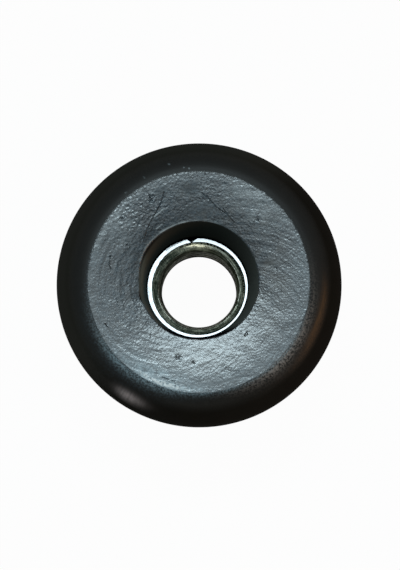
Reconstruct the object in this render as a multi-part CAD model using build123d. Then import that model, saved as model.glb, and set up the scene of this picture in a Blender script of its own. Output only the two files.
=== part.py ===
from build123d import *
import os
from math import cos, pi, radians, sqrt, tan

# A threaded insert that plugs the open end of a round metal tube. A black plastic body is moulded round a
# zinc-plated steel bush. The head caps the tube, the finned shank grips its bore, and a levelling foot or a
# caster screws into the bush through the recess in the head.
# Sizes are in millimetres. Z runs up the axis, from the shank's lower end at zero to the head's flat face.

# The tube that the insert plugs
tube_diameter = 32.0
tube_wall = 1.5

# Head: flush with the tube, rounded at its edge, and faced off flat on top
head_thickness = 5.0
edge_radius = 4.0
facing_cut = 0.02

# Shank: a core with annular fins that bend towards the head as they go in
shank_length = 22.0
core_wall = 2.2
core_lead_chamfer = 0.8
shoulder_fillet = 0.6
fin_bite = 0.3
fin_pitch = 3.8
fin_land = 0.8
fin_slope_height = 1.6
fin_top_draft = 0.2
fin_shoulder_gap = 3.0
fin_end_gap = 1.2

# Thread of the bush, which is bored to the tapping size here
thread_diameter = 10.0
thread_pitch = 1.5
thread_engagement_factor = 1.0825
bore_allowance = 0.22
countersink_excess = 0.6

# Steel bush: cut from hexagon bar, with a groove that locks it in the moulding
bush_length = 7.5
bush_across_flats = 15.0
bush_corner_chamfer = 0.7
bush_chamfer_angle = 30.0
groove_width = 2.2
groove_depth = 1.0

# Recess above the bush and passage below it, both tapered by the mould's core pins
recess_depth = 7.6
stem_clearance = 0.7
recess_draft = 7.2
passage_draft = 4.0
mouth_fillet = 0.2

# Nib of moulding flash that lies on the bush's upper face
nib_bearing = 98.0
nib_width = 1.2
nib_reach = 0.45
nib_thickness = 0.35
nib_root = 0.3

# Sizes that follow from those above
head_radius = tube_diameter / 2
total_height = shank_length + head_thickness
fin_crest_radius = tube_diameter / 2 - tube_wall + fin_bite
bush_corner_radius = bush_across_flats / 2 / cos(pi / 6)
core_radius = bush_corner_radius + core_wall
bush_top = total_height - recess_depth
bush_bottom = bush_top - bush_length
bush_middle = (bush_top + bush_bottom) / 2
bore_radius = (thread_diameter - thread_engagement_factor * thread_pitch + bore_allowance) / 2
countersink_radius = (thread_diameter + countersink_excess) / 2
seal_radius = thread_diameter / 2 + stem_clearance
mouth_radius = seal_radius + recess_depth * tan(radians(recess_draft))
passage_end_radius = seal_radius + bush_bottom * tan(radians(passage_draft))


def turned(profile):
    """Revolves a sketch in the XZ plane round the Z axis."""
    return revolve(Plane.XZ * profile, axis=Axis.Z)


def frustum(low_radius, high_radius, low_z, high_z):
    """A cone or cylinder on the axis, between two heights."""
    return turned(Polygon((0, low_z), (low_radius, low_z), (high_radius, high_z), (0, high_z), align=None))


def head_section():
    """Half section of the head: a land, then the rounded edge up to the flat face."""
    arc_height = edge_radius - facing_cut
    arc_centre_radius = head_radius - edge_radius
    face_radius = arc_centre_radius + sqrt(edge_radius**2 - arc_height**2)
    land_top = (head_radius, total_height - arc_height)
    face_edge = (face_radius, total_height)
    outline = [
        Line((0, shank_length), (head_radius, shank_length)),
        Line((head_radius, shank_length), land_top),
        RadiusArc(land_top, face_edge, -edge_radius),
        Line(face_edge, (0, total_height)),
        Line((0, total_height), (0, shank_length)),
    ]
    return make_face(outline)


def fin_section(crest_top):
    """Half section of one fin: a sloped lower flank, a narrow land, and a nearly flat upper flank."""
    crest_bottom = crest_top - fin_land
    return Polygon(
        (0, crest_bottom - fin_slope_height),
        (core_radius, crest_bottom - fin_slope_height),
        (fin_crest_radius, crest_bottom),
        (fin_crest_radius, crest_top),
        (core_radius, crest_top + fin_top_draft),
        (0, crest_top + fin_top_draft),
        align=None,
    )


def fin_crest_tops():
    """Heights of the fins' upper edges, from the shoulder down to the last that fits above the lead-in."""
    highest = shank_length - fin_shoulder_gap
    lowest = fin_end_gap + fin_slope_height + fin_land
    count = int((highest - lowest) / fin_pitch + 1e-6) + 1
    return [highest - index * fin_pitch for index in range(count)]


def shank_section():
    """Half section of the core with its lead-in chamfer and all the fins."""
    core = Polygon(
        (0, 0),
        (core_radius - core_lead_chamfer, 0),
        (core_radius, core_lead_chamfer),
        (core_radius, shank_length),
        (0, shank_length),
        align=None,
    )
    root_corner = make_face(
        [
            Line((core_radius, shank_length), (core_radius, shank_length - shoulder_fillet)),
            RadiusArc(
                (core_radius, shank_length - shoulder_fillet),
                (core_radius + shoulder_fillet, shank_length),
                shoulder_fillet,
            ),
            Line((core_radius + shoulder_fillet, shank_length), (core_radius, shank_length)),
        ]
    )
    section = core + root_corner
    for crest_top in fin_crest_tops():
        section += fin_section(crest_top)
    return section


def bush_envelope():
    """The bush's outside without its bore: a chamfered hexagon with a turned groove round its middle."""
    hexagon = extrude(RegularPolygon(bush_across_flats / 2, 6, major_radius=False), bush_length)
    hexagon = Pos(0, 0, bush_bottom) * hexagon
    chamfer_height = bush_corner_chamfer * tan(radians(bush_chamfer_angle))
    turned_blank = turned(
        Polygon(
            (0, bush_bottom),
            (bush_corner_radius - bush_corner_chamfer, bush_bottom),
            (bush_corner_radius, bush_bottom + chamfer_height),
            (bush_corner_radius, bush_top - chamfer_height),
            (bush_corner_radius - bush_corner_chamfer, bush_top),
            (0, bush_top),
            align=None,
        )
    )
    groove_low = bush_middle - groove_width / 2
    groove_high = bush_middle + groove_width / 2
    groove_floor = bush_across_flats / 2 - groove_depth
    ring = turned(
        Polygon(
            (groove_floor, groove_low),
            (bush_corner_radius + core_wall, groove_low),
            (bush_corner_radius + core_wall, groove_high),
            (groove_floor, groove_high),
            align=None,
        )
    )
    return (hexagon & turned_blank) - ring


def threaded_bush():
    """The steel bush, bored to the tapping size and countersunk at both ends."""
    countersink_height = countersink_radius - bore_radius
    bore = frustum(bore_radius, bore_radius, bush_bottom, bush_top)
    upper = frustum(bore_radius, countersink_radius, bush_top - countersink_height, bush_top)
    lower = frustum(countersink_radius, bore_radius, bush_bottom, bush_bottom + countersink_height)
    return bush_envelope() - bore - upper - lower


def flash_nib():
    """A thin triangle of flash from the recess wall, lying on the bush's upper face."""
    outline = Polygon(
        (seal_radius - nib_reach, 0),
        (seal_radius + nib_root, nib_width / 2),
        (seal_radius + nib_root, -nib_width / 2),
        align=None,
    )
    return Rot(0, 0, nib_bearing) * Pos(0, 0, bush_top) * extrude(outline, nib_thickness, dir=(0, 0, 1))


def moulded_body():
    """The plastic moulding: head, shank and fins, with the bush's seat, the recess and the passage."""
    body = turned(head_section() + shank_section())
    body -= frustum(seal_radius, mouth_radius, bush_top, total_height)
    body -= frustum(passage_end_radius, seal_radius, 0, bush_bottom)
    mouth = body.edges().filter_by(GeomType.CIRCLE).group_by(Axis.Z)[-1].sort_by(SortBy.LENGTH)[0]
    body = fillet(mouth, mouth_fillet)
    body -= bush_envelope()
    return body + flash_nib()


os.makedirs("parts", exist_ok=True)
pieces = {
    "moulded_body": moulded_body(),
    "threaded_bush": threaded_bush(),
}
for name, shape in pieces.items():
    solids = shape.solids()
    print(name, "solids", len(solids), "volume", round(sum(solid.volume for solid in solids), 2))
    export_step(solids[0] if len(solids) == 1 else Compound(children=solids), f"parts/{name}.step")
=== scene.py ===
# A threaded insert for the end of a round tube: a zinc-plated steel bush and the black plastic body that is
# moulded round it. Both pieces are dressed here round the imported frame. Shapes are drawn in millimetres and
# scaled to metres as each mesh is finished.
from math import atan2, ceil, cos, degrees, exp, hypot, pi, radians, sin, sqrt, tan

import bmesh
import bpy
from mathutils import Matrix, Vector, noise


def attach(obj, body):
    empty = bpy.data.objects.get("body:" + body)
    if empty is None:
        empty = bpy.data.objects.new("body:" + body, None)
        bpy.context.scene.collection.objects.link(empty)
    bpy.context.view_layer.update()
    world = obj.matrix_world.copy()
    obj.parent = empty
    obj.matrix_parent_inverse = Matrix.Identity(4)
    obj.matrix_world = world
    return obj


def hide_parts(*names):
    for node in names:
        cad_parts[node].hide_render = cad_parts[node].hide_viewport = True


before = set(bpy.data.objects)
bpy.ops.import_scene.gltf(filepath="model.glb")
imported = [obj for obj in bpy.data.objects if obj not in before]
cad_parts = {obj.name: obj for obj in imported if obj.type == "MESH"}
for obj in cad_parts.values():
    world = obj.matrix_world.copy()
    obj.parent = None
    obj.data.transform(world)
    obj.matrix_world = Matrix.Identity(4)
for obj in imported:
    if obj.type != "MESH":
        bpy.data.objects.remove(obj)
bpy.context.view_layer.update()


# Steel bush
# Cut from 15 mm hexagon bar. A groove turned round its middle locks it in the moulding, both ends are
# chamfered and countersunk, and an M10 x 1.5 right-hand thread is tapped right through. It is zinc plated.

BUSH_LOW = 11.9
BUSH_HIGH = 19.4
BUSH_FLAT = 7.5
BUSH_CORNER = 8.61
BUSH_CHAMFER = 0.65
BUSH_CHAMFER_ANGLE = 30
GROOVE_FLOOR = 6.5
GROOVE_LOW = 14.55
GROOVE_HIGH = 16.75
BUSH_STEPS = 192

# The upper countersink by depth and radius: a steep lip, a bevel, a narrow land and a lead into the thread
COUNTERSINK = ((0.0, 5.34), (0.16, 5.27), (0.45, 4.74), (0.453, 4.67), (1.5, 4.27))
COUNTERSINK_SHIFT = (-0.06, -0.03)
COUNTERSINK_RADIUS = 5.3
LIP_DEPTH = 0.3
LIP_CHATTER = 0.03
END_RING_GAP = 0.25

THREAD_CREST = 4.298
THREAD_ROOT = 5.02
THREAD_PITCH = 1.5
CREST_FLAT = 0.44
ROOT_FLAT = 0.22
THREAD_RUN_IN = 1.3
THREAD_MESH_GAP = 0.09

TOUCHING = 1e-4
ON_PLANE = 1e-5
METRES = 0.001


def section(points):
    """A wire through (radius, height) points, which a spin turns into a skin."""
    bm = bmesh.new()
    verts = [bm.verts.new((radius, 0, height)) for radius, height in points]
    for pair in zip(verts, verts[1:]):
        bm.edges.new(pair)
    return bm


def between(first, last, share):
    """The point that lies a share of the way from one point to another."""
    return tuple(start + (end - start) * share for start, end in zip(first, last))


def spaced(points, gap):
    """The same path with points added, so that none are further apart than the gap."""
    path = [points[0]]
    for first, last in zip(points, points[1:]):
        count = max(1, ceil(hypot(last[0] - first[0], last[1] - first[1]) / gap))
        path += [between(first, last, step / count) for step in range(1, count + 1)]
    return path


def everything(bm):
    """All the geometry of a mesh, as its operators take it."""
    return bm.verts[:] + bm.edges[:] + bm.faces[:]


def copied(bm, turn=0.0, lift=0.0):
    """Adds a copy of all that is there, turned about the axis and lifted along it."""
    copy = bmesh.ops.duplicate(bm, geom=everything(bm))
    verts = [part for part in copy["geom"] if isinstance(part, bmesh.types.BMVert)]
    bmesh.ops.rotate(bm, verts=verts, cent=(0, 0, 0), matrix=Matrix.Rotation(radians(turn), 3, "Z"))
    bmesh.ops.translate(bm, verts=verts, vec=(0, 0, lift))


def turned(bm, steps):
    """Spins a section through an eighth of a turn, then doubles that sector until the ring is whole."""
    bmesh.ops.spin(
        bm, geom=bm.verts[:] + bm.edges[:], cent=(0, 0, 0), axis=(0, 0, 1), angle=pi / 4, steps=steps // 8,
    )
    for turn in (45, 90, 180):
        copied(bm, turn)
    bmesh.ops.remove_doubles(bm, verts=bm.verts[:], dist=TOUCHING)
    return bm


def join(bm, other):
    """Adds another mesh to this one."""
    carrier = bpy.data.meshes.new("carrier")
    other.to_mesh(carrier)
    bm.from_mesh(carrier)
    other.free()
    bpy.data.meshes.remove(carrier)


def open_edges(bm, height):
    """The open edges that lie in one level plane."""
    return [
        edge for edge in bm.edges
        if edge.is_boundary and all(abs(vert.co.z - height) < TOUCHING for vert in edge.verts)
    ]


def hexagon_skin(opening):
    """The outside of the bush, from the edge of one end's opening to the edge of the other's."""
    rise = BUSH_CHAMFER * tan(radians(BUSH_CHAMFER_ANGLE))
    bm = turned(section([
        (opening, BUSH_HIGH), (BUSH_CORNER - BUSH_CHAMFER, BUSH_HIGH), (BUSH_CORNER, BUSH_HIGH - rise),
        (BUSH_CORNER, GROOVE_HIGH), (GROOVE_FLOOR, GROOVE_HIGH), (GROOVE_FLOOR, GROOVE_LOW),
        (BUSH_CORNER, GROOVE_LOW), (BUSH_CORNER, BUSH_LOW + rise),
        (BUSH_CORNER - BUSH_CHAMFER, BUSH_LOW), (opening, BUSH_LOW),
    ]), BUSH_STEPS)
    for side in range(6):
        outward = Vector((cos(radians(60 * side + 30)), sin(radians(60 * side + 30)), 0))
        cut = bmesh.ops.bisect_plane(
            bm, geom=everything(bm), dist=ON_PLANE,
            plane_co=outward * BUSH_FLAT, plane_no=outward, clear_outer=True,
        )
        rim = [part for part in cut["geom_cut"] if isinstance(part, bmesh.types.BMEdge)]
        bmesh.ops.edgeloop_fill(bm, edges=rim)
    return bm


def countersink(depth):
    """Radius of the upper countersink at a depth below the bush's end, and zero below it."""
    for (upper, wide), (lower, narrow) in zip(COUNTERSINK, COUNTERSINK[1:]):
        if depth < lower + ON_PLANE:
            return wide + (narrow - wide) * (depth - upper) / (lower - upper)
    return 0.0


def tapped_wall():
    """The thread: one pitch of its section, screwed up the bore and cut off level at both ends."""
    flank = (THREAD_PITCH - CREST_FLAT - ROOT_FLAT) / 2
    start = BUSH_LOW - THREAD_RUN_IN * THREAD_PITCH
    bm = section(spaced([
        (THREAD_CREST, start), (THREAD_CREST, start + CREST_FLAT),
        (THREAD_ROOT, start + CREST_FLAT + flank), (THREAD_ROOT, start + CREST_FLAT + flank + ROOT_FLAT),
        (THREAD_CREST, start + THREAD_PITCH),
    ], THREAD_MESH_GAP))
    bmesh.ops.spin(
        bm, geom=bm.verts[:] + bm.edges[:], cent=(0, 0, 0), axis=(0, 0, 1),
        dvec=(0, 0, THREAD_PITCH / BUSH_STEPS), angle=2 * pi, steps=BUSH_STEPS,
    )
    for turns in (1, 2, 4):
        copied(bm, lift=THREAD_PITCH * turns)
    bmesh.ops.remove_doubles(bm, verts=bm.verts[:], dist=10 * TOUCHING)
    for height, outward in ((BUSH_HIGH, (0, 0, 1)), (BUSH_LOW, (0, 0, -1))):
        bmesh.ops.bisect_plane(
            bm, geom=everything(bm), dist=ON_PLANE,
            plane_co=(0, 0, height), plane_no=outward, clear_outer=True,
        )
    for depth, _ in COUNTERSINK[1:-1]:
        bmesh.ops.bisect_plane(
            bm, geom=everything(bm), dist=ON_PLANE,
            plane_co=(0, 0, BUSH_HIGH - depth), plane_no=(0, 0, 1),
        )
    for vert in bm.verts:
        x, y, z = vert.co
        depth = BUSH_HIGH - z
        if depth < z - BUSH_LOW:
            x -= COUNTERSINK_SHIFT[0]
            y -= COUNTERSINK_SHIFT[1]
            cone = countersink(depth)
            if depth < LIP_DEPTH:
                chatter = noise.noise(Vector((x * 3.2, y * 3.2, z * 0.5)))
                cone += (2 * LIP_CHATTER if x < -2.0 else LIP_CHATTER) * chatter
        else:
            cone = COUNTERSINK_RADIUS - (z - BUSH_LOW)
        radius = hypot(x, y)
        if radius < cone:
            vert.co.x += x * (cone / radius - 1)
            vert.co.y += y * (cone / radius - 1)
    return bm


def finished(bm, name, sharp_angle):
    """Closes a mesh's seams, turns its faces outwards and makes it an object in metres."""
    bmesh.ops.remove_doubles(bm, verts=bm.verts[:], dist=TOUCHING)
    bmesh.ops.recalc_face_normals(bm, faces=bm.faces[:])
    bmesh.ops.scale(bm, vec=(METRES, METRES, METRES), verts=bm.verts[:])
    mesh = bpy.data.meshes.new(name)
    bm.to_mesh(mesh)
    bm.free()
    mesh.shade_smooth()
    mesh.set_sharp_from_angle(angle=radians(sharp_angle))
    piece = bpy.data.objects.new(name, mesh)
    bpy.context.scene.collection.objects.link(piece)
    return piece


bush_mesh = hexagon_skin(COUNTERSINK_RADIUS + END_RING_GAP)
join(bush_mesh, tapped_wall())
for end in (BUSH_HIGH, BUSH_LOW):
    bmesh.ops.triangle_fill(bush_mesh, edges=open_edges(bush_mesh, end), use_beauty=True)
bush = finished(bush_mesh, "steel_bush", sharp_angle=32)


class Signal:
    """A socket among a finish's nodes. Arithmetic on it adds Math nodes, and node() adds any other kind."""

    def __init__(self, tree, socket=None):
        self.tree = tree
        self.socket = socket

    def node(self, kind, sockets=None, output=0, **settings):
        """Adds a node with its settings and a value or signal for each socket, and gives its output."""
        made = self.tree.nodes.new("ShaderNode" + kind)
        for setting, value in settings.items():
            setattr(made, setting, value)
        for socket, value in (sockets or {}).items():
            if isinstance(value, Signal):
                self.tree.links.new(value.socket, made.inputs[socket])
            else:
                made.inputs[socket].default_value = value
        return Signal(self.tree, made.outputs[output])

    def math(self, operation, *values):
        return self.node("Math", dict(enumerate(values)), operation=operation)

    def __add__(self, other):
        return self.math("ADD", self, other)

    __radd__ = __add__

    def __sub__(self, other):
        return self.math("SUBTRACT", self, other)

    def __rsub__(self, other):
        return self.math("SUBTRACT", other, self)

    def __mul__(self, other):
        return self.math("MULTIPLY", self, other)

    __rmul__ = __mul__

    def __truediv__(self, other):
        return self.math("DIVIDE", self, other)

    def __pow__(self, other):
        return self.math("POWER", self, other)

    def __abs__(self):
        return self.math("ABSOLUTE", self)

    def step(self, low, high):
        """Rises smoothly from 0 to 1 as the signal goes from low to high."""
        return self.node(
            "MapRange", {"Value": self, "From Min": low, "From Max": high}, interpolation_type="SMOOTHSTEP",
        )

    def tint(self, low, high):
        """A colour that goes from one to the other as the signal goes from 0 to 1."""
        return self.node("Mix", {0: self, 6: low, 7: high}, 2, data_type="RGBA")

    def parts(self, axes="XYZ"):
        """The parts of a vector signal along some axes."""
        return [self.node("SeparateXYZ", {"Vector": self}, output=axis) for axis in axes]


def vector(x, y, z=0.0):
    """A vector signal made of its three parts, of which the first is a signal."""
    return x.node("CombineXYZ", {"X": x, "Y": y, "Z": z})


def polar(across, along):
    """Distance from the origin and bearing, in radians, from the parts of a place."""
    return (across * across + along * along) ** 0.5, along.math("ARCTAN2", along, across)


def mottled(place, scale, detail, roughness=0.5):
    """A noise texture over a vector signal."""
    sockets = {"Vector": place, "Scale": scale, "Detail": detail, "Roughness": roughness}
    return place.node("TexNoise", sockets)


def colour(red, green, blue):
    return (red, green, blue, 1.0)


def finish_of(name):
    """A new material, and the piece's own coordinates in millimetres as the first signal of its nodes."""
    material = bpy.data.materials.new(name)
    material.use_nodes = True
    material.node_tree.nodes.remove(material.node_tree.nodes["Principled BSDF"])
    place = Signal(material.node_tree).node("TexCoord", output="Object")
    return material, place.node("Mapping", {"Vector": place, "Scale": (1000, 1000, 1000)})


def applied(material, surface):
    """Puts the finished surface on the material."""
    surface.tree.links.new(surface.socket, surface.tree.nodes["Material Output"].inputs["Surface"])
    return material


def bump(height, distance):
    """Relief of a surface, whose height signal is worth this many millimetres."""
    sockets = {"Height": height, "Distance": distance * METRES, "Strength": 1.0}
    return height.node("Bump", sockets, output="Normal")


CLEAR_ZINC, HAZED_ZINC = colour(0.86, 0.86, 0.86), colour(0.56, 0.59, 0.62)
OLIVE_FILM, STRAW_FILM = colour(0.10, 0.13, 0.09), colour(1.0, 1.0, 0.76)
# A painted glint on the countersink's bevel
PAINTED_GLINT = colour(1.0, 1.0, 0.82)
BROWN_FILM, PALE_FILM = colour(0.08, 0.075, 0.035), colour(0.62, 0.62, 0.46)
# Painted shade deep in the thread
THREAD_SHADE = colour(0.02, 0.018, 0.010)
# Painted shade and painted light on the countersink's land
SHADED_LAND, LIT_LAND = colour(0.015, 0.020, 0.012), colour(0.27, 0.27, 0.22)
# Chatter marks and painted shade at the countersink's lip
LIP_MARKS_AND_SHADE = colour(0.015, 0.015, 0.012)
DARK_OIL, PALE_OIL = colour(0.024, 0.025, 0.013), colour(0.150, 0.155, 0.100)
# Painted shade deep in the oiled thread
OIL_SHADE = colour(0.002, 0.002, 0.001)


def zinc_plate():
    """Bright zinc on the end faces, a darker olive film in the countersinks, and oil in the thread, with
    painted highlights and shade.
    """
    material, place = finish_of("zinc_plate")
    across, along, height = place.parts()
    across = across - COUNTERSINK_SHIFT[0]
    along = along - COUNTERSINK_SHIFT[1]
    sideways = abs(across)
    radius, bearing = polar(across, along)
    grain = mottled(place, 2.2, 5.0, 0.6)
    cloud = mottled(place, 0.9, 2.0)
    lathe = mottled(vector(radius * 6.0, bearing * 1.5, height * 3.0), 1.0, 3.0, 0.65)
    chatter = mottled(vector(radius * 1.2, bearing * 26.0, 1.0), 1.0, 2.0)

    lip_radius = COUNTERSINK[0][1]
    inside = 1 - radius.step(lip_radius - 0.04, lip_radius + 0.01)
    upper_end = height.step(BUSH_HIGH - 0.6, BUSH_HIGH - 0.5)
    upper_right = (0.6 * across + 0.8 * along).step(-1.5, 4.0)
    # The lip: chatter marks in its upper right, and a line of painted shade along the ring's inner edge
    speckled = upper_right * radius.step(5.04, 5.09) * chatter.step(0.47, 0.53)
    shadow = radius.step(5.20, 5.26) * (0.85 - 0.55 * upper_right)
    lip = inside * upper_end * speckled.math("MAXIMUM", speckled, shadow)
    # Painted glint: a bright band on the bevel, on the side towards the lamps
    lit_side = (along + 0.3 * across - 0.5 * sideways).step(2.4, 4.2)
    glint = radius.step(4.84, 4.90) * (1 - radius.step(5.04, 5.09)) * lit_side
    land = radius.step(4.64, 4.67) * (1 - radius.step(4.74, 4.77)) * upper_end
    # Painted light and shade on the land: lit at both sides, shaded everywhere else
    sides = sideways.step(1.6, 3.4) * (cloud + 0.3 * grain).step(0.46, 0.62)
    thread = 1 - height.step(BUSH_HIGH - 1.05, BUSH_HIGH - 0.80)
    # Painted shade, darker down the bore towards its lower end
    deep_shade = 1 - height.step(BUSH_LOW + 0.6, BUSH_LOW + 3.0)

    haze = (-1 * across).step(2.0, 4.6) * grain.step(0.44, 0.60)
    face = (0.15 + 0.85 * haze).tint(CLEAR_ZINC, HAZED_ZINC)
    mottle = (lathe * 0.6 + chatter * 0.2 + grain * 0.2 - 0.02).step(0.40, 0.60)
    cone = mottle.tint(OLIVE_FILM, STRAW_FILM)
    cone = (glint * (0.55 + 0.7 * cloud)).tint(cone, PAINTED_GLINT)
    bore = (cloud * 0.6 + lathe * 0.4).step(0.38, 0.62).tint(BROWN_FILM, PALE_FILM)
    bore = deep_shade.tint(bore, THREAD_SHADE)
    below = thread.tint(cone, bore)
    below = land.tint(below, sides.tint(SHADED_LAND, LIT_LAND))
    below = lip.tint(below, LIP_MARKS_AND_SHADE)
    plated = place.node("BsdfPrincipled", {
        "Base Color": inside.tint(face, below),
        "Metallic": 1.0,
        "Roughness": 0.11 + 0.06 * grain + 0.24 * inside - 0.17 * glint - 0.10 * (land * sides),
        "Normal": bump(lathe + 0.5 * grain, 0.004 + 0.02 * inside),
    })
    oily = place.node("BsdfPrincipled", {
        "Base Color": deep_shade.tint(mottle.tint(DARK_OIL, PALE_OIL), OIL_SHADE),
        "Roughness": 0.8, "Specular IOR Level": 0.0,
    })
    oiled = thread * inside * (0.72 + 0.28 * deep_shade)
    return applied(material, place.node("MixShader", {0: oiled, 1: plated, 2: oily}))


bush.data.materials.append(zinc_plate())
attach(bush, "root")
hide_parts("threaded_bush")


# Moulded body
# One piece of black glass-filled plastic, moulded round the bush. The head is rounded over and faced off
# flat with a cutter. Core pins taper the recess and the passage, and the shank carries five fins.

HEAD_TOP = 27.0
HEAD_RADIUS = 16.0
SHOULDER = 22.0
SHOULDER_ROUNDING = 0.15
SHOULDER_RINGS = (0.8, 0.9)
EDGE_RADIUS = 4.0
FACING_CUT = 0.02
CROWN_RADIUS = HEAD_RADIUS - EDGE_RADIUS
CROWN_HEIGHT = HEAD_TOP + FACING_CUT - EDGE_RADIUS
SEAL_RADIUS = 5.7
MOUTH_RADIUS = 6.66
MOUTH_ROUNDING = 0.10
MOUTH_END = MOUTH_RADIUS + MOUTH_ROUNDING
MOUTH_RING = MOUTH_END + 0.05
WALL_TOP = HEAD_TOP - MOUTH_ROUNDING
WALL_STEPS = 10
FOOT_RISES = (0, 0.1, 0.2, 0.3, 0.36, 0.42)
FOOT_TOP = BUSH_HIGH + 0.5
CORE_PIN_SHIFT = -0.16
PIN_WEAR_REACH = 1.4
PASSAGE_RADIUS = 6.53
CORE_RADIUS = 10.86
LEAD_CHAMFER = 0.8
FIN_RADIUS = 14.8
FIN_TOPS = (19.0, 15.2, 11.4, 7.6, 3.8)
FIN_LAND = 0.8
FIN_SLOPE = 1.6
FIN_DRAFT = 0.2
FIN_ROUNDING = 0.12
HEAD_STEPS = 568
FACE_MESH_GAP = 0.1
SEAT_RING_GAP = 0.15

FACE_RADIUS = 12.28
FACE_RIM = FACE_RADIUS + 0.05
FACE_SHIFT = (-0.03, -0.20)
FACE_LOW = HEAD_TOP - 0.6
WEAR_LOW = HEAD_TOP - 2.5
FACED_BLEND = 0.006
DISH_EDGE_SLOPE = 0.035
DISH_CURVE = 0.011
RIGHT_ARCS = (4.58, -5.85)
LOWER_ARCS = (-3.39, -0.5)

NIB_BEARING = 98.0
NIB_REACH = 0.47
NIB_LEFT = 0.44
NIB_RIGHT = 0.78
NIB_THICKNESS = 0.35

# Marks in the face: knife cuts as a path, half width and depth, light scratches as a path and half width,
# flecks beyond the face's edge as points, and pits as a point, half width and depth
CUTS = (
    (((-3.87, 9.98), (-4.27, 8.63), (-5.06, 7.19), (-5.77, 5.76), (-6.12, 4.32)), 0.050, 0.030),
    (((0.32, 9.8), (0.94, 9.35), (2.01, 8.18), (3.07, 7.46), (3.69, 6.74)), 0.045, 0.032),
    (((2.66, 8.11), (3.27, 7.33), (3.94, 6.54)), 0.040, 0.026),
    (((-10.44, -4.76), (-10.13, -5.2)), 0.04, 0.03),
    (((-9.93, 2.18), (-9.98, 1.73), (-9.76, 1.28)), 0.035, 0.018),
    (((-4.1, -10.75), (-3.7, -10.88), (-3.4, -10.95)), 0.04, 0.02),
    (((-3.1, -11.1), (-2.6, -11.16)), 0.04, 0.022),
)
SCRATCHES = (
    (((-4.97, 7.19), (-3.91, 8.09)), 0.06),
    (((-4.71, 5.76), (-4.08, 6.3)), 0.05),
    (((0.45, -8.22), (-0.26, -9.28), (-0.7, -9.99)), 0.10),
    (((2.55, -7.28), (2.67, -7.38)), 0.10),
)
FLECKS = ((-3.34, 13.08), (-1.71, 12.68), (-1.11, 12.58), (-8.17, 9.86), (-6.09, 11.52))
FLECK_SIZE = 0.10
PITS = (
    (-9.85, 2.60, 0.09, 0.04), (6.54, 6.74, 0.10, 0.07), (-2.15, -8.58, 0.18, 0.03),
    (-0.68, -9.12, 0.12, 0.03), (5.18, -6.0, 0.11, 0.03), (-5.33, 9.08, 0.15, 0.05),
    (-8.73, 6.99, 0.13, 0.04), (-8.05, 3.97, 0.10, 0.03),
)
BURR = 0.12

# Soft patches of the face by strength, middle and spread: where it is rubbed pale, and where it is smudged
RUBBED = (
    (0.25, (-1.6, -8.9), (1.8, 1.6)), (0.52, (4.9, 9.9), (2.2, 1.3)), (0.44, (6.8, 8.0), (2.2, 2.0)),
    (0.42, (-9.0, 6.6), (1.6, 2.2)), (0.15, (11.0, 0.5), (1.0, 2.4)),
)
SMUDGES = (
    (0.8, (7.3, 2.05), (1.1, 0.32)), (0.5, (0.3, 7.9), (1.8, 0.9)),
    (0.6, (-1.0, 10.4), (1.6, 1.0)), (0.5, (-4.2, 9.9), (1.0, 0.9)),
)

# What each vertex of the head carries for the plastic's finish: wear, and where highlights, a reflection and
# the cuts' shade are painted
WEAR = ("faced", "scuffed", "pale_wear_and_highlight", "smudged_and_cut_shade", "ragged", "dusty", "painted_brown_reflection", "painted_highlight")


def arc(centre, radius, first, last, count):
    """Points along part of a circle, from one angle to another in degrees."""
    angles = [radians(first + (last - first) / count * step) for step in range(count + 1)]
    return [(centre[0] + radius * cos(angle), centre[1] + radius * sin(angle)) for angle in angles]


def eased(value, low, high):
    """Rises smoothly from 0 to 1 as the value goes from low to high."""
    share = min(max((value - low) / (high - low), 0.0), 1.0)
    return share * share * (3 - 2 * share)


def bell(value, middle, spread, power=2):
    """A bump that is 1 at the middle and fades over the spread. A higher power flattens its top."""
    return exp(-(abs((value - middle) / spread) ** power))


def spot(x, y, middle, spread):
    """A soft patch of the face, with its spread along x and along y."""
    return bell(x, middle[0], spread[0]) * bell(y, middle[1], spread[1])


def patchy(x, y, scale, layer):
    """Smooth noise over the face, from -1 to 1, in a layer of its own."""
    return noise.noise(Vector((x * scale, y * scale, layer)))


def from_path(x, y, path):
    """Distance of a point from a path of straight runs."""
    nearest = 99.0
    for (ax, ay), (bx, by) in zip(path, path[1:]):
        run_x, run_y = bx - ax, by - ay
        share = ((x - ax) * run_x + (y - ay) * run_y) / (run_x * run_x + run_y * run_y)
        share = min(max(share, 0.0), 1.0)
        nearest = min(nearest, hypot(x - ax - share * run_x, y - ay - share * run_y))
    return nearest


def beside(x, y, path, margin):
    """Whether a point is within the margin of a path's box."""
    across, along = zip(*path)
    return (
        min(across) - margin < x < max(across) + margin and min(along) - margin < y < max(along) + margin
    )


def traced(x, y, path, half_width):
    """A soft line along a path: 1 on it, and fading over the half width."""
    if not beside(x, y, path, 4 * half_width):
        return 0.0
    return bell(from_path(x, y, path), 0.0, half_width)


def from_face_centre(x, y):
    """Distance from the middle of the face, which isn't quite on the axis."""
    return hypot(x - FACE_SHIFT[0], y - FACE_SHIFT[1])


def marks(x, y):
    """Height of the knife cuts, with the burr they throw up, and of the pits: below zero where cut in."""
    height = 0.0
    for path, half_width, depth in CUTS:
        if beside(x, y, path, 6 * half_width):
            away = from_path(x, y, path)
            height -= depth * bell(away, 0.0, half_width)
            height += BURR * depth * bell(away, 2 * half_width, half_width)
    for pit_x, pit_y, half_width, depth in PITS:
        away = hypot(x - pit_x, y - pit_y)
        if away < 4 * half_width:
            away *= 1 + 1.4 * patchy(x, y, 5.0, 2.0)
            height -= depth * bell(away, 0.0, half_width)
    return height


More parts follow.
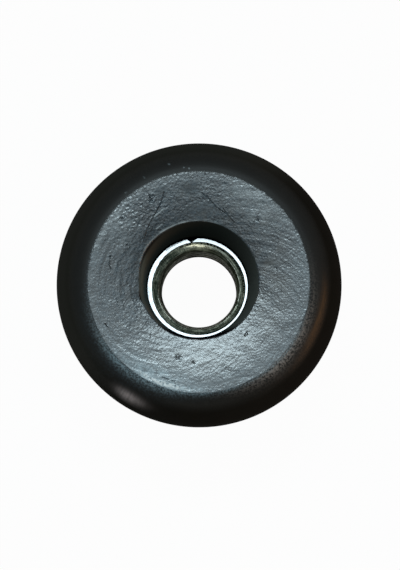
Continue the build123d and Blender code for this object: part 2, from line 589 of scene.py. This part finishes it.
def torn(x, y):
    """How badly the cutter tore the face: worst along its edge at the upper left, less so at the top."""
    band = 1.15 * spot(x, y, (-7.0, 7.4), (3.4, 3.2)) * (0.25 + 0.75 * eased(hypot(x, y), 8.0, 9.8))
    tail = 0.80 * spot(x, y, (-0.3, 10.2), (4.8, 2.1))
    return min(1.0, band + tail)


def rings(x, y, centre, pitch):
    """Fine arcs that the cutter left round a point of the face, as a height from about -1 to 1."""
    away = hypot(x - centre[0], y - centre[1])
    bearing = atan2(y - centre[1], x - centre[0])
    return 1.6 * noise.noise(Vector((away / pitch, bearing * 1.8, 5.0)))


def relief(x, y):
    """Height of the face against a flat cut, in millimetres. It is dished towards the recess."""
    over_edge = FACE_RADIUS - CROWN_RADIUS + (FACE_SHIFT[0] * x + FACE_SHIFT[1] * y) / FACE_RADIUS
    over_edge += 0.07 * bell(x, 0.0, 4.5) * eased(-y, 6.0, 12.0)
    inward = max(0.0, FACE_RADIUS - from_face_centre(x, y))
    height = FACING_CUT - over_edge * over_edge / (2 * EDGE_RADIUS)
    height -= DISH_EDGE_SLOPE * inward + DISH_CURVE * inward * inward / 2
    lean_x, lean_y = x * 0.86 + y * 0.50, y * 0.86 - x * 0.50
    lumps = noise.noise(Vector((lean_x * 2.9, lean_y * 3.3, 7.0)))
    flakes = noise.noise(Vector((lean_x * 4.8, lean_y * 5.0, 9.0)))
    height += torn(x, y) * (0.013 * lumps + 0.018 * flakes)
    height += 0.010 * min(1.0, 0.4 + inward) * patchy(x, y, 0.8, 3.0)
    calm = 1 - 0.45 * eased(0.7 * (x - y), 3.0, 8.0)
    height += 0.0045 * calm * patchy(x, y, 3.1, 11.0)
    height += 0.0055 * exp(-inward / 0.3) * patchy(x, y, 4.5, 17.0)
    height += 0.0050 * calm * eased(x, -2.0, 4.0) * rings(x, y, RIGHT_ARCS, 0.42)
    height += 0.0055 * calm * eased(-y - 0.9 * x, 1.0, 6.0) * rings(x, y, LOWER_ARCS, 0.46)
    return height + marks(x, y)


def head_skin():
    """The head from the recess's foot, over its mouth, face and edge, to the underside of the shoulder."""
    taper = atan2(MOUTH_RADIUS - SEAL_RADIUS, HEAD_TOP - BUSH_HIGH)
    wall_top_radius = SEAL_RADIUS + (WALL_TOP - BUSH_HIGH) * tan(taper)
    face_start = wall_top_radius + MOUTH_ROUNDING
    profile = [(SEAL_RADIUS + rise * tan(taper), BUSH_HIGH + rise) for rise in FOOT_RISES]
    wall_ends = profile[-1], (wall_top_radius, WALL_TOP)
    profile += [between(*wall_ends, step / WALL_STEPS) for step in range(1, WALL_STEPS + 1)]
    profile += arc((face_start, WALL_TOP), MOUTH_ROUNDING, 180, 90, 4)[1:]
    count = ceil((CROWN_RADIUS - face_start) / FACE_MESH_GAP)
    face_ends = (face_start, HEAD_TOP), (CROWN_RADIUS, HEAD_TOP)
    profile += [between(*face_ends, step / count) for step in range(1, count)]
    profile += arc((CROWN_RADIUS, CROWN_HEIGHT), EDGE_RADIUS, 90, 74, 16)
    profile += arc((CROWN_RADIUS, CROWN_HEIGHT), EDGE_RADIUS, 74, 0, 24)[1:]
    corner = (HEAD_RADIUS - SHOULDER_ROUNDING, SHOULDER + SHOULDER_ROUNDING)
    profile += arc(corner, SHOULDER_ROUNDING, 0, -90, 4)
    profile.append((HEAD_RADIUS - SHOULDER_RINGS[0], SHOULDER))
    return turned(section(profile), HEAD_STEPS)


def shank_skin():
    """The shank from under the head, down its fins and round its end, and up the passage to the bush."""
    outline = [(HEAD_RADIUS - SHOULDER_RINGS[1], SHOULDER), (CORE_RADIUS, SHOULDER)]
    for top in FIN_TOPS:
        outline += [
            (CORE_RADIUS, top + FIN_DRAFT), (FIN_RADIUS, top), (FIN_RADIUS, top - FIN_LAND),
            (CORE_RADIUS, top - FIN_LAND - FIN_SLOPE),
        ]
    outline += [(CORE_RADIUS, LEAD_CHAMFER), (CORE_RADIUS - LEAD_CHAMFER, 0)]
    outline += [(PASSAGE_RADIUS, 0), (SEAL_RADIUS, BUSH_LOW)]
    bm = section(outline)
    bends = [vert for vert in bm.verts if len(vert.link_edges) == 2]
    bmesh.ops.bevel(
        bm, geom=bends, offset=FIN_ROUNDING, segments=3, profile=0.5, affect="VERTICES", material=-1,
    )
    return turned(bm, BUSH_STEPS)


def marked(x, y):
    """Whether a point of the face is close to a cut or a pit."""
    on_cut = any(
        beside(x, y, path, 3.2 * half_width) and from_path(x, y, path) < 3.2 * half_width
        for path, half_width, _ in CUTS
    )
    return on_cut or any(
        hypot(x - pit_x, y - pit_y) < 2.6 * half_width for pit_x, pit_y, half_width, _ in PITS
    )


def refine_marks(bm):
    """Divides the face's mesh more finely along the cuts and at the pits."""
    for _ in range(2):
        near = []
        for edge in bm.edges:
            middle = (edge.verts[0].co + edge.verts[1].co) / 2
            if middle.z >= HEAD_TOP - 0.01 and marked(middle.x, middle.y):
                near.append(edge)
        bmesh.ops.subdivide_edges(bm, edges=near, cuts=1, use_grid_fill=True)


def past_edge(radius, bearing):
    """How scuffed it still is past the face's edge. The scuffing reaches furthest at the lower left."""
    reach = 0.05 + 0.95 * bell(bearing, 226, 40) + 0.35 * bell(bearing, 312, 30)
    reach += 0.05 * bell(bearing, 118, 40)
    return bell(max(0.0, radius - FACE_RADIUS), 0.0, reach, 1.2)


def patches(x, y, spots):
    """How strong some soft patches of the face are together."""
    return sum(strength * spot(x, y, middle, spread) for strength, middle, spread in spots)


def pale_wear_and_painted_highlights(x, y, radius, bearing):
    """How pale the face is: painted highlights on the mouth's upper edge and inside the face's edge, painted
    sheen in bands at the bottom, rubbed patches and scratches.
    """
    # Painted highlight: a thin pale line along the mouth's upper edge
    mouth = 0.9 * bell(bearing, 122, 26, 4) + 0.45 * bell(bearing, 145, 62, 4) + 0.38 * bell(bearing, 72, 34)
    mouth *= 0.8 + 0.9 * patchy(x, y, 1.4, 21.0)
    mouth *= bell(hypot(x, y), MOUTH_RADIUS + 0.08, 0.09)
    # Painted highlight: a band just inside the face's edge, strongest at the lower left
    edge = 0.75 * bell(radius, 12.0, 0.40)
    edge *= 0.20 + 1.2 * bell(bearing, 244, 26) + 0.5 * bell(bearing, 140, 26)
    edge *= 0.8 + 1.4 * patchy(x, y, 2.2, 4.0)
    # Painted sheen in bands at the bottom of the face, with the rubbed patches
    band = 0.98 * bell(radius, 11.0, 1.2) * bell(bearing, 243, 18)
    band += 0.22 * bell(radius, 10.6, 0.8) * bell(bearing, 282, 26)
    band += patches(x, y, RUBBED)
    band *= 0.8 + 1.0 * patchy(x, y, 1.6, 14.0)
    # Painted highlight: a bright crescent inside the face's edge at the bottom
    crescent = 2.4 * bell(radius, 11.92, 0.27) * bell(bearing, 252, 13)
    crescent *= 0.65 + 1.8 * patchy(x, y, 4.4, 8.0)
    lines = max(traced(x, y, path, half_width) for path, half_width in SCRATCHES)
    return max(mouth, 0.55 * edge + 0.75 * band + crescent, 1.4 * lines, 0.0)


def dull_and_cut_shade(x, y, radius, bearing):
    """Where the face has lost its sheen: smudges, a ring inside the lower edge, and the knife cuts, painted
    in shade.
    """
    ring = 0.36 * bell(radius, 11.35, 0.25) * bell(bearing, 286, 26)
    uneven = max(0.85, 1.15 + 1.5 * patchy(x, y, 1.3, 31.0))
    shade = uneven * max(traced(x, y, path, 1.2 * half_width) for path, half_width, _ in CUTS)
    return max(patches(x, y, SMUDGES) + ring, shade)


def nib(radius, bearing, height):
    """How far the nib of flash stands in from the recess's foot."""
    off_nib = radians(bearing - NIB_BEARING)
    across = radius * sin(off_nib)
    half_width = NIB_LEFT if across > 0 else NIB_RIGHT
    if cos(off_nib) <= 0 or abs(across) >= half_width:
        return 0.0
    flat = 1 - eased(height - BUSH_HIGH, NIB_THICKNESS - 0.06, NIB_THICKNESS + 0.02)
    return NIB_REACH * (1 - abs(across) / half_width) * flat


def pin_wear(bearing, share):
    """How far the recess stands in from a true cone: flatter along its lower side, bulged at both sides."""
    foot = 0.10 * max(0.0, cos(radians(bearing - 282))) ** 0.8
    mouth = 0.15 * bell(bearing, 268, 34) + 0.12 * bell(bearing, 205, 26) - 0.26 * bell(bearing, 195, 6)
    mouth += 0.09 * cos(radians(bearing + 20)) - 0.15 * bell(bearing, 145, 18) - 0.05 * bell(bearing, 348, 7)
    return foot * (1 - share) + mouth * share


body_mesh = head_skin()
refine_marks(body_mesh)
faced, scuffed, pale_wear_and_highlight, smudged_and_cut_shade, ragged, dusty, painted_brown_reflection, painted_highlight = (
    body_mesh.verts.layers.float.new(name) for name in WEAR
)


def cut_face(vert, radius):
    """Brings a vertex of the head down to the cut face, whose relief fades out down the recess's wall."""
    x, y, z = vert.co
    if z > WALL_TOP - 0.01 and radius < MOUTH_RING:
        vert.co.z += relief(x, y)
        vert[faced] = vert[scuffed] = eased(z, WALL_TOP, HEAD_TOP - 0.01)
    elif radius < MOUTH_RADIUS and z > FOOT_TOP:
        vert.co.z += relief(MOUTH_END, 0) * eased(z, FOOT_TOP, WALL_TOP)
    elif radius > MOUTH_RADIUS and z > FACE_LOW:
        moulded_height = CROWN_HEIGHT + sqrt(EDGE_RADIUS ** 2 - max(0.0, radius - CROWN_RADIUS) ** 2)
        cut_height = HEAD_TOP + relief(x, y)
        vert.co.z = min(moulded_height, cut_height)
        vert[faced] = min(max((moulded_height - cut_height) / FACED_BLEND + 0.5, 0.0), 1.0)


def soil_edge(vert, radius, bearing):
    """Marks the scuffs, flecks and dust past the face's edge, a painted brown reflection and a painted
    highlight.
    """
    x, y, _ = vert.co
    outward = from_face_centre(x, y)
    past = max(0.0, outward - FACE_RADIUS)
    turn = (bearing + 180) % 360 - 180
    flecks = max(bell(hypot(x - fleck_x, y - fleck_y), 0.0, FLECK_SIZE) for fleck_x, fleck_y in FLECKS)
    rubbed = 0.8 * bell(bearing, 229, 30) * bell(past, 0.35, 0.55)
    rubbed += 0.8 * bell(bearing, 322, 22) * exp(-past / 0.4)
    rubbed += 0.60 * bell(bearing, 272, 26) * exp(-past / 0.3)
    dust = 0.5 * bell(turn, -34, 30) * bell(outward, 12.6, 0.6)
    dust += 1.3 * bell(turn, -46, 19) * exp(-past / 0.45)
    vert[scuffed] = max(past_edge(outward, bearing), flecks)
    vert[pale_wear_and_highlight] = rubbed + 1.5 * flecks
    vert[dusty] = dust
    # A painted brown reflection on the rim at the right
    vert[painted_brown_reflection] = bell(turn, -17, 17, 4) * bell(radius, 13.9, 0.30)
    # A painted pale highlight on the rim at the lower left
    vert[painted_highlight] = bell(bearing, 238, 5.0 if bearing < 238 else 6.5) * bell(radius, 14.95, 0.42)


for vert in body_mesh.verts:
    x, y, z = vert.co
    radius = hypot(x, y)
    outward = from_face_centre(x, y)
    bearing = degrees(atan2(y, x)) % 360
    cut_face(vert, radius)
    if radius >= MOUTH_RING and z > WEAR_LOW:
        soil_edge(vert, radius, bearing)
    if outward < FACE_RIM and z > FACE_LOW:
        vert[pale_wear_and_highlight] = pale_wear_and_painted_highlights(x, y, outward, bearing)
        vert[smudged_and_cut_shade] = dull_and_cut_shade(x, y, outward, bearing)
        vert[ragged] = torn(x, y)
    inward = 0.0
    if z < FOOT_TOP:
        inward += nib(radius, bearing, z)
    if z > BUSH_HIGH - 0.1 and radius < MOUTH_END + PIN_WEAR_REACH:
        fade = 1 - eased(radius, MOUTH_END, MOUTH_END + PIN_WEAR_REACH)
        inward += pin_wear(bearing, eased(z, BUSH_HIGH, HEAD_TOP)) * fade
    vert.co.x -= inward * x / radius
    vert.co.y -= inward * y / radius
    if radius < MOUTH_RADIUS + 0.01:
        vert.co.x += CORE_PIN_SHIFT * (1 - eased(z, BUSH_HIGH, WALL_TOP))
join(body_mesh, shank_skin())
join(body_mesh, hexagon_skin(SEAL_RADIUS + SEAT_RING_GAP))
for level in (SHOULDER, BUSH_HIGH, BUSH_LOW):
    bmesh.ops.triangle_fill(body_mesh, edges=open_edges(body_mesh, level), use_beauty=True)
body = finished(body_mesh, "black_body", sharp_angle=40)


DARK_SKIN, PALE_SKIN = colour(0.0090, 0.0076, 0.0058), colour(0.0128, 0.0110, 0.0086)
# Painted light: the rim's outer slope paler at the upper left
PAINTED_LIT_SKIN = colour(0.0275, 0.0250, 0.0200)
DUST = colour(0.370, 0.305, 0.260)
# A painted brown reflection on the rim
PAINTED_BROWN_REFLECTION = colour(0.084, 0.041, 0.015)
# A painted pale highlight on the rim
PAINTED_HIGHLIGHT_SKIN = colour(0.350, 0.278, 0.262)
# Painted light and shade on the recess wall
SHADED_UPPER_WALL, LIT_LOWER_WALL = colour(0.0280, 0.0320, 0.0280), colour(0.130, 0.138, 0.122)
LIT_LEFT_WALL, LIT_STREAKED_WALL = colour(0.095, 0.130, 0.128), colour(0.150, 0.190, 0.180)
# Painted shade at the recess wall's foot
WALL_FOOT_SHADE = colour(0.0015, 0.0010, 0.0030)
COLD_HOLLOW, WARM_HOLLOW = colour(0.0030, 0.0055, 0.0080), colour(0.0100, 0.0095, 0.0085)
COLD_SCUFF, WARM_SCUFF = colour(0.028, 0.050, 0.066), colour(0.062, 0.058, 0.050)
# Pale scuffs and painted highlights share these colours
PALE_SCUFF_AND_HIGHLIGHT, COLD_PALE_SCUFF_AND_HIGHLIGHT = colour(0.305, 0.350, 0.360), colour(0.270, 0.365, 0.405)
BRIGHT_SCUFF_AND_HIGHLIGHT = colour(0.62, 0.68, 0.68)
CUT_SHADE = colour(0.0020, 0.0020, 0.0020)


def arcs(place, centre, pitch):
    """The cutter's arcs round a point of the face, finer than the mesh carries them, from -0.5 to 0.5."""
    apart = place.node("VectorMath", {0: place, 1: (*centre, HEAD_TOP)}, operation="SUBTRACT")
    away, bearing = polar(*apart.parts("XY"))
    return mottled(vector(away / pitch, bearing * 3.0), 1.0, 2.0, 0.55) - 0.5


def black_plastic():
    """Black moulded plastic: satin where the mould left it, and scuffed to blue-grey where it was faced."""
    material, place = finish_of("black_plastic")
    faced, scuffed, pale_wear_and_highlight, smudged_and_cut_shade, ragged, dusty, painted_brown_reflection, painted_highlight = (
        place.node("Attribute", output="Fac", attribute_name=name) for name in WEAR
    )
    across, along, height = place.parts()
    radius, bearing = polar(across, along)
    grain = mottled(place, 5.0, 3.0, 0.7)
    pebble = mottled(place, 4.2, 1.0, 0.35)
    blotch = mottled(place, 2.0, 2.0, 0.6)
    stain = mottled(place, 1.3, 3.0, 0.7)
    cloud = mottled(place, 0.5, 3.0)
    strokes = mottled(vector(radius * 4.5, bearing * 4.0), 1.0, 3.0, 0.6)
    rays = mottled(vector(radius * 0.9, bearing * 55.0), 1.0, 1.0)
    streaks = mottled(vector(bearing * 1.2, 0.0, height * 1.6), 1.0, 4.0, 0.65)

    # Painted light: the rim's outer slope paler towards the upper left
    painted_rim_light = radius.step(13.4, 15.3) * (0.9 * along - 1.0 * across).step(-4.0, 8.0)
    skin = cloud.tint(DARK_SKIN, PALE_SKIN)
    skin = painted_rim_light.tint(skin, PAINTED_LIT_SKIN)
    skin = (dusty * (0.3 * strokes + 0.7 * grain).step(0.40, 0.60)).tint(skin, DUST)
    # A painted brown reflection on the rim at the right
    skin = (painted_brown_reflection * (1.6 * strokes - 0.2)).tint(skin, PAINTED_BROWN_REFLECTION)
    # A painted pale highlight on the rim at the lower left, where the sheen is also raised
    skin = (painted_highlight * rays.step(-0.6, 1.0)).tint(skin, PAINTED_HIGHLIGHT_SKIN)

    recess = 1 - radius.step(MOUTH_RADIUS - 0.05, MOUTH_RADIUS + 0.15)
    well = recess * height.step(BUSH_HIGH - 1.0, BUSH_HIGH - 0.5)
    # Painted light and shade on the recess wall: dark at the top, lighter at the bottom and left, with
    # streaks on the left
    left = (-1 * across).step(5.6, 6.5)
    # Painted shade at the wall's foot, and all the way up its lower side
    foot = 1 - height.step(BUSH_HIGH + 0.5, BUSH_HIGH + 1.4) * (1 - (-1 * along).step(4.4, 5.6))
    wall = (1 - along / radius).tint(SHADED_UPPER_WALL, left.tint(LIT_LOWER_WALL, LIT_LEFT_WALL))
    wall = (left * streaks.step(0.35, 0.60)).tint(wall, LIT_STREAKED_WALL)
    skin = well.tint(skin, foot.tint(wall, WALL_FOOT_SHADE))

    texture = bump(pebble, 0.003)
    matt = place.node("BsdfPrincipled", {
        "Base Color": skin, "Roughness": 0.8, "Specular IOR Level": 0.0, "Normal": texture,
    })
    satin = place.node("BsdfPrincipled", {
        "Base Color": skin, "Roughness": 0.36 + 0.08 * blotch, "Specular IOR Level": 0.31, "Normal": texture,
    })
    shank = 1 - height.step(SHOULDER - 0.05, SHOULDER + 0.05)
    crown = height.step(25.9, 26.9) * (1 - 0.4 * height.step(26.95, 27.02))
    crown = crown * (1 - 0.5 * (-1 * along).step(8.0, 12.5))
    sheen = 0.02 + crown + 0.9 * painted_highlight * (0.5 + grain)
    sheen = sheen.math("MINIMUM", sheen, 1.0)
    sheen = sheen.math("MAXIMUM", sheen, shank) * (1 - well)
    moulded = place.node("MixShader", {0: sheen, 1: matt, 2: satin})

    right_side = across.step(-2.0, 4.0)
    lower_left = (-1 * along - 0.9 * across).step(1.0, 6.0)
    upper_side = (0.8 * along + 0.6 * across).step(-3.0, 7.0)
    cutting = right_side * arcs(place, RIGHT_ARCS, 0.24) + lower_left * arcs(place, LOWER_ARCS, 0.26)
    light = (0.75 * grain + 0.25 * blotch + 0.4 * cutting + 0.2 * (cloud - 0.5)).step(0.40, 0.66)
    cold = radius.step(9.0, 11.4) * (0.6 * across - along).step(-5.0, 4.0)
    warm = (cloud * 0.6 + stain * 0.4 + 0.012 * (across - along)).step(0.44, 0.66) * (1 - 0.85 * cold)
    hollow = stain.step(0.35, 0.65).tint(COLD_HOLLOW, WARM_HOLLOW)
    scuff = light.tint(hollow, warm.tint(COLD_SCUFF, WARM_SCUFF))
    # Pale scuffs and painted highlights
    scuff = (pale_wear_and_highlight * (2.6 * grain - 0.3)).tint(scuff, cold.tint(PALE_SCUFF_AND_HIGHLIGHT, COLD_PALE_SCUFF_AND_HIGHLIGHT))
    scuff = (pale_wear_and_highlight - 1).tint(scuff, BRIGHT_SCUFF_AND_HIGHLIGHT)
    # Painted shade in the knife cuts
    scuff = (smudged_and_cut_shade - 1).tint(scuff, CUT_SHADE)
    cut = place.node("BsdfPrincipled", {
        "Base Color": scuff,
        "Roughness": 0.15 + 0.10 * blotch + 0.45 * smudged_and_cut_shade,
        "Specular IOR Level": 0.75,
        "Normal": bump(pebble + 0.5 * cutting, 0.0108 + 0.0038 * upper_side + 0.006 * ragged),
    })
    rubbed = faced.math("MAXIMUM", faced, scuffed * (0.25 + 0.75 * grain.step(0.37, 0.63)))
    return applied(material, place.node("MixShader", {0: rubbed, 1: moulded, 2: cut}))


body.data.materials.append(black_plastic())
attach(body, "root")
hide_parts("moulded_body")


# Floor
# A wide pale sheet that the insert stands on. The camera and reflections see it as clean white paper.

FLOOR_RADIUS = 3000
FLOOR_SIDES = 96
PAPER_GLOW = 0.97

floor_mesh = bmesh.new()
bmesh.ops.create_circle(floor_mesh, cap_ends=True, segments=FLOOR_SIDES, radius=FLOOR_RADIUS)
ground = finished(floor_mesh, "floor", sharp_angle=40)


def white_paper():
    """Pale matt paper, seen by the camera and in reflections as clean white with a trace of the shadow."""
    material, place = finish_of("white_paper")
    sheet = place.node("BsdfPrincipled", {
        "Base Color": mottled(place, 0.05, 2.0).tint(colour(0.80, 0.80, 0.79), colour(0.84, 0.84, 0.83)),
        "Roughness": 0.8, "Specular IOR Level": 0.2,
    })
    seen = place.node("LightPath", output="Is Camera Ray")
    for way in ("Is Glossy Ray", "Is Transmission Ray"):
        seen = seen.math("MAXIMUM", seen, place.node("LightPath", output=way))
    glow = place.node("Emission", {"Color": colour(1, 1, 1), "Strength": 1.0})
    return applied(material, place.node("MixShader", {0: PAPER_GLOW * seen, 1: sheet, 2: glow}))


ground.data.materials.append(white_paper())


# Light
# A narrow soft box hangs almost overhead, a little beyond the insert, with a larger, dimmer one beside it.
# A low warm card at the right and a lamp in front light the edge, and a dim bluish room fills the rest.

FACE_CENTRE = Vector((0, 0, HEAD_TOP * METRES))
ROOM_COLOUR = colour(0.76, 0.92, 1.0)
ROOM_STRENGTH = 0.30

scene = bpy.context.scene
scene.view_settings.view_transform = "Standard"


def soft_box(name, tilt, bearing, distance, width, depth, radiance, hue):
    """A rectangular lamp, evenly bright, that is aimed at the face from an angle off the vertical."""
    lamp = bpy.data.lights.new(name, "AREA")
    lamp.shape = "RECTANGLE"
    lamp.size = width
    lamp.size_y = depth
    lamp.energy = radiance * width * depth * pi
    lamp.color = hue
    box = bpy.data.objects.new(name, lamp)
    tilt, bearing = radians(tilt), radians(bearing)
    way = Vector((sin(tilt) * cos(bearing), sin(tilt) * sin(bearing), cos(tilt)))
    box.location = FACE_CENTRE + way * distance
    box.rotation_mode = "QUATERNION"
    box.rotation_quaternion = way.to_track_quat("Z", "Y")
    scene.collection.objects.link(box)


soft_box(
    "window", tilt=16.1, bearing=97, distance=0.9, width=0.30, depth=0.094,
    radiance=19.6, hue=(0.75, 0.93, 1.0),
)
soft_box(
    "ceiling", tilt=6.0, bearing=92, distance=0.95, width=0.28, depth=0.20,
    radiance=1.5, hue=(0.80, 0.94, 1.0),
)
soft_box(
    "warm_card", tilt=72, bearing=-20, distance=0.8, width=0.46, depth=0.13,
    radiance=6.4, hue=(1.0, 0.50, 0.22),
)
soft_box(
    "bench_light", tilt=53, bearing=272, distance=0.8, width=0.30, depth=0.14,
    radiance=1.6, hue=(1.0, 0.98, 0.86),
)

world = bpy.data.worlds.new("room")
world.use_nodes = True
world.node_tree.nodes["Background"].inputs["Color"].default_value = ROOM_COLOUR
world.node_tree.nodes["Background"].inputs["Strength"].default_value = ROOM_STRENGTH
scene.world = world


# Camera
# It looks down on the face from about 0.3 m, six and a half degrees off the axis.

CAMERA_TILT = radians(6.5)
CAMERA_DISTANCE = 0.2964
CAMERA_RIGHT = 0.00010
CAMERA_DOWN = 0.0005
SENSOR_WIDTH = 36
FOCAL_LENGTH = 168.9

camera = bpy.data.objects.new("camera", bpy.data.cameras.new("camera"))
camera.data.sensor_width = SENSOR_WIDTH
camera.data.lens = FOCAL_LENGTH
camera.data.clip_start = 0.01
camera.data.clip_end = 20
up = Vector((0, cos(CAMERA_TILT), sin(CAMERA_TILT)))
back = Vector((0, -sin(CAMERA_TILT), cos(CAMERA_TILT)))
camera.location = FACE_CENTRE + Vector((CAMERA_RIGHT, 0, 0)) - up * CAMERA_DOWN + back * CAMERA_DISTANCE
camera.rotation_euler = (CAMERA_TILT, 0, 0)
scene.collection.objects.link(camera)
scene.camera = camera
